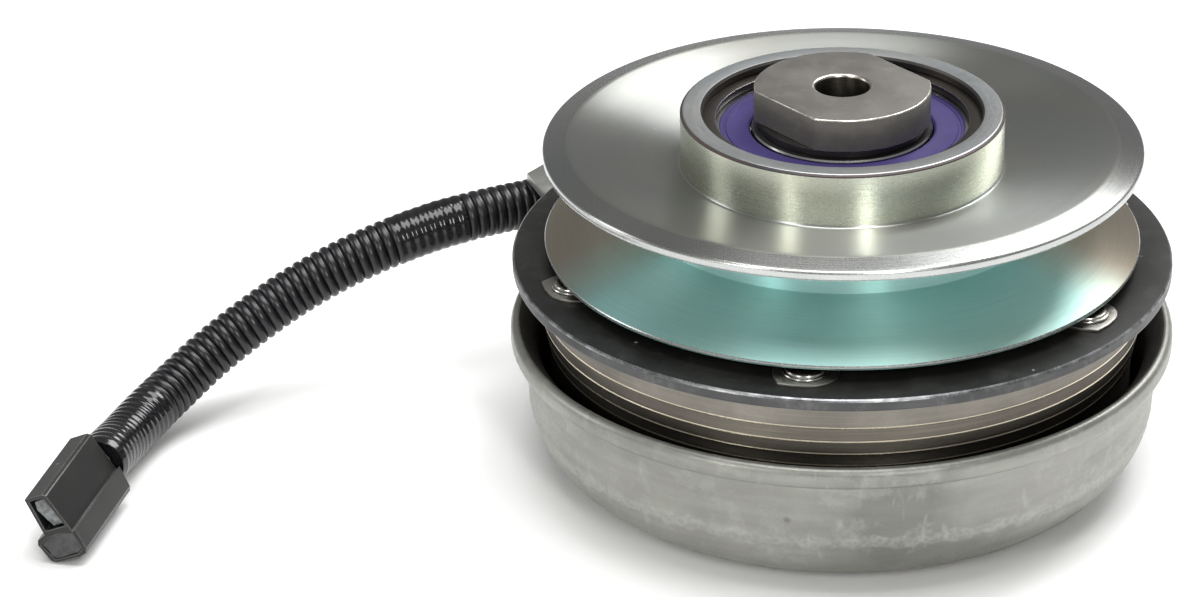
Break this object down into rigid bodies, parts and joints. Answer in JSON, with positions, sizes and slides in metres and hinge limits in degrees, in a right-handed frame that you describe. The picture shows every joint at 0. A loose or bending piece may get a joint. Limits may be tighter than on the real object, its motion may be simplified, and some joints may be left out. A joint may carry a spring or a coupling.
{
  "type": "electromagnetic clutch",
  "caption": "Round electromagnetic clutch with a V-belt pulley over a drawn field housing, a keyed bore and a sheathed lead ending in a two-way connector.",
  "frame": {"origin": "centre of the crankshaft bore at the underside of the field housing", "axes": "+Z along the clutch axis towards the wrench boss, -Y the front, the lead leaves towards -X"},
  "size_m": [0.2929, 0.1744, 0.1041],
  "materials": {
    "dark_steel": "satin",
    "turned_steel": "turned",
    "friction_lining": "matte",
    "bright_steel": "bright",
    "sintered_steel": "matte",
    "hub_plate": "yellow-green zinc plate",
    "flange_plate": "satin zinc plate",
    "lower_flange_plate": "iridescent zinc plate",
    "black_spring_steel": "oiled black",
    "bearing_steel": "ground",
    "seal_rubber": "matte violet",
    "cage_brass": "satin",
    "rivet_steel": "satin",
    "spring_steel": "oiled",
    "phosphated_steel": "phosphate",
    "cast_zinc_plate": "dull zinc, scuffed",
    "bracket_zinc": "dull zinc",
    "black_moulding": "matte",
    "enamelled_copper": "enamel",
    "potting_resin": "rough",
    "black_rubber": "matte",
    "wire_cover": "satin",
    "loom_plastic": "semi gloss",
    "vinyl_tape": "gloss",
    "connector_plastic": "fine texture",
    "tinned_blade": "tinned"
  },
  "bodies": {
    "field": {"field_housing": "cast_zinc_plate", "field_core": "turned_steel", "coil_bobbin": "black_moulding", "coil_winding": "enamelled_copper", "coil_potting": "potting_resin", "field_outer_race": "bearing_steel", "field_seal_upper": "seal_rubber", "field_seal_lower": "seal_rubber", "core_snap_ring": "black_spring_steel", "lead_bracket": "bracket_zinc", "bracket_rivets": "rivet_steel", "wall_grommet": "black_rubber", "loom_boot": "black_rubber", "lead_wires": "wire_cover", "cable_loom": "loom_plastic", "tape_wraps": "vinyl_tape", "connector_housing": "connector_plastic", "connector_blades": "tinned_blade", "connector_potting": "potting_resin", "connector_end_seal": "black_rubber"},
    "rotor_group": {"drive_sleeve": "dark_steel", "rotor": "turned_steel", "friction_lining": "friction_lining", "rotor_key": "bright_steel", "spacer_tube": "turned_steel", "top_spacer": "dark_steel", "wrench_boss": "sintered_steel", "pulley_inner_race": "bearing_steel", "field_inner_race": "bearing_steel", "sleeve_snap_ring": "black_spring_steel"},
    "pulley_group": {"pulley_hub": "hub_plate", "pulley_upper_flange": "flange_plate", "groove_spacer": "flange_plate", "pulley_lower_flange": "lower_flange_plate", "hub_snap_ring": "black_spring_steel", "pulley_outer_race": "bearing_steel", "pulley_seal_upper": "seal_rubber", "pulley_seal_lower": "seal_rubber", "spring_rivets": "rivet_steel"},
    "armature_group": {"armature_plate": "phosphated_steel", "armature_rivets": "rivet_steel", "leaf_springs": "spring_steel"},
    "field_cage_group": {"field_cage": "cage_brass", "field_balls": "bearing_steel"},
    "pulley_cage_group": {"pulley_cage": "cage_brass", "pulley_balls": "bearing_steel"}
  },
  "joints": [
    {"name": "rotor_spin", "type": "hinge", "parent": "field", "child": "rotor_group", "pos_m": [0, 0, 0], "axis": [0, 0, 1], "continuous": true},
    {"name": "pulley_spin", "type": "hinge", "parent": "rotor_group", "child": "pulley_group", "pos_m": [0, 0, 0], "axis": [0, 0, 1], "continuous": true},
    {"name": "armature_slide", "type": "slide", "parent": "pulley_group", "child": "armature_group", "axis": [0, 0, -1], "range_m": [0, 0.0004], "stiffness_N_per_m": 20000, "deforming": ["leaf_springs"]},
    {"name": "field_cage_spin", "type": "hinge", "parent": "field", "child": "field_cage_group", "pos_m": [0, 0, 0], "axis": [0, 0, 1], "continuous": true},
    {"name": "pulley_cage_spin", "type": "hinge", "parent": "rotor_group", "child": "pulley_cage_group", "pos_m": [0, 0, 0], "axis": [0, 0, 1], "continuous": true}
  ],
  "couplings": [
    {"joint": "field_cage_spin", "follows": "rotor_spin", "ratio": 0.411},
    {"joint": "pulley_cage_spin", "follows": "pulley_spin", "ratio": 0.604}
  ]
}
